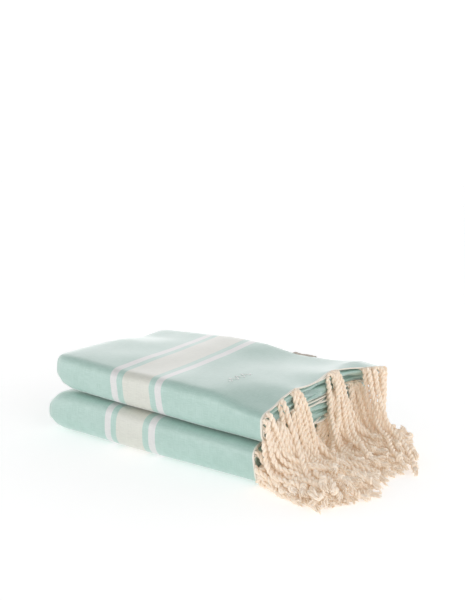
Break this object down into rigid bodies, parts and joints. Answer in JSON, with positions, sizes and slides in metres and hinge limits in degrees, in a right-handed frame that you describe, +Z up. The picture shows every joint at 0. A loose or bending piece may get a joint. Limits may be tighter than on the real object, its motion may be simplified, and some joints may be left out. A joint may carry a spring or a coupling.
{
  "type": "bath towel set",
  "caption": "Stack of folded flat-woven cotton hammam towels in mint with cream bands and natural twisted fringe; the upper towel lifts off.",
  "frame": {"origin": "on the surface the set stands on, under the middle of the whole set's box", "axes": "+X along the folded towels towards the fringe, +Y from the rounded front fold to the back, +Z up"},
  "size_m": [0.4722, 0.2494, 0.1002],
  "materials": {
    "towel_cloth": "flat-woven mint cotton with cream and white bands across the width",
    "fringe_cord": "natural two-ply twisted cotton cord, knotted, with frayed tassel ends",
    "label_tape": "blank woven tan tape",
    "stitching": "white embroidery thread"
  },
  "bodies": {
    "lower_towel": {"lower_cloth": "towel_cloth", "lower_fringe_row_1": "fringe_cord", "lower_fringe_row_2": "fringe_cord", "lower_fringe_row_3": "fringe_cord", "lower_fringe_row_4": "fringe_cord", "lower_label": "label_tape"},
    "upper_towel": {"upper_cloth": "towel_cloth", "upper_fringe_row_1": "fringe_cord", "upper_fringe_row_2": "fringe_cord", "upper_fringe_row_3": "fringe_cord", "upper_fringe_row_4": "fringe_cord", "upper_label": "label_tape", "upper_motif": "stitching"}
  },
  "joints": [
    {"name": "upper_lift", "type": "slide", "parent": "lower_towel", "child": "upper_towel", "axis": [0, 0, 1], "range_m": [0, 0.14]}
  ]
}
